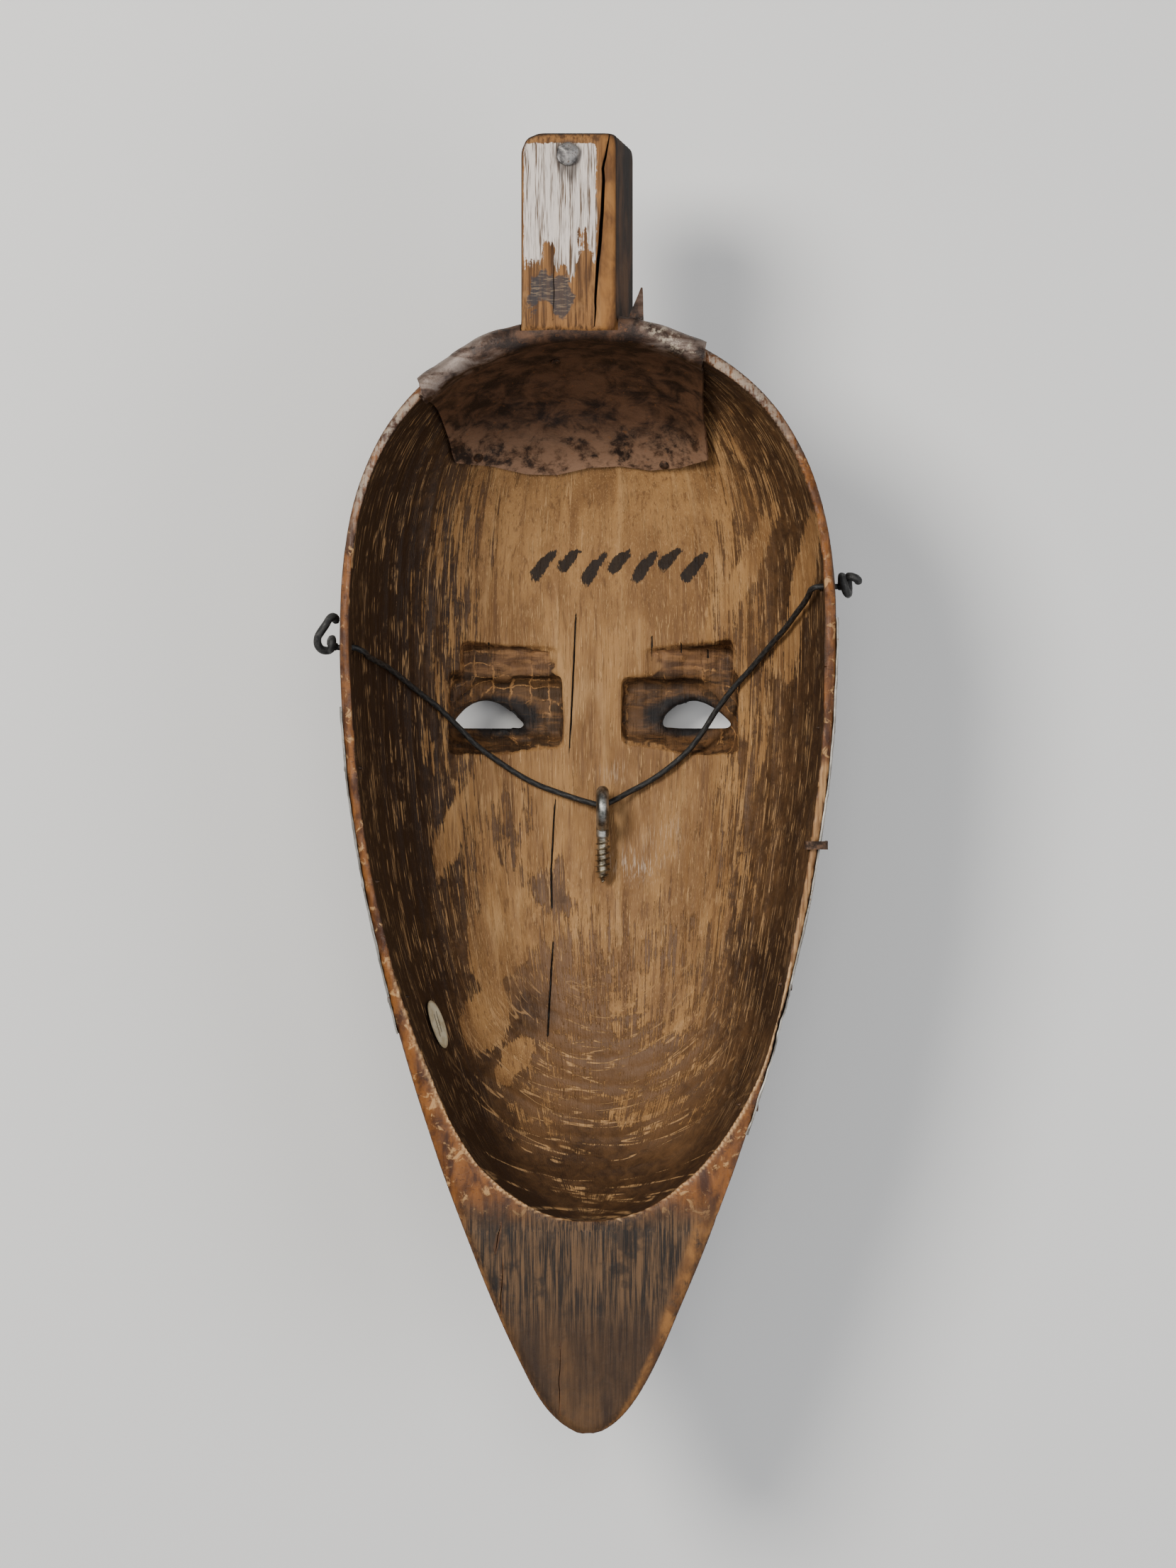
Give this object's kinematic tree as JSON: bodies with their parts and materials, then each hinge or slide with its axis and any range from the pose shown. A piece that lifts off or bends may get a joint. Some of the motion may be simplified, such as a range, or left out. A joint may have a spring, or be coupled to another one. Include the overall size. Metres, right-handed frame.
{
  "type": "african face mask",
  "caption": "Long carved wooden face mask with a square crest post, metal-faced cheeks and a cord, lying on its face with the adzed hollow up.",
  "frame": {"origin": "on the surface the mask lies on, below the middle of its length and width", "axes": "+Z out of the hollow, +Y towards the crest post, +X to the right of someone looking into the hollow"},
  "size_m": [0.1839, 0.4375, 0.1095],
  "materials": {
    "worn_wood": "hand-carved hardwood, dark with handling, raw and lighter in the adze cuts",
    "rusted_iron": "thin iron sheet, rusted brown with a grey sheen on its folds",
    "facing_metal": "thin dull grey sheet, beaten and scratched",
    "forged_iron": "hand-forged iron, grey and rusted at the edges",
    "plated_steel": "zinc-plated steel, the thread worn to a brassy tone",
    "waxed_cord": "braided black cord, waxed",
    "aged_paper": "small oval paper label, yellowed"
  },
  "bodies": {
    "root": {"mask_body": "worn_wood", "forehead_sheet": "rusted_iron", "left_cheek_facing": "facing_metal", "right_cheek_facing": "facing_metal", "crest_nail": "forged_iron", "left_cheek_nail_1": "forged_iron", "left_cheek_nail_2": "forged_iron", "left_cheek_nail_3": "forged_iron", "right_cheek_nail_1": "forged_iron", "right_cheek_nail_2": "forged_iron", "right_cheek_nail_3": "forged_iron", "sheet_nail_1": "forged_iron", "sheet_nail_2": "forged_iron", "sheet_nail_3": "forged_iron", "rim_clip": "forged_iron", "paper_label": "aged_paper", "cord": "waxed_cord", "left_knot": "waxed_cord", "right_knot": "waxed_cord", "screw_eye": "plated_steel"}
  },
  "joints": []
}
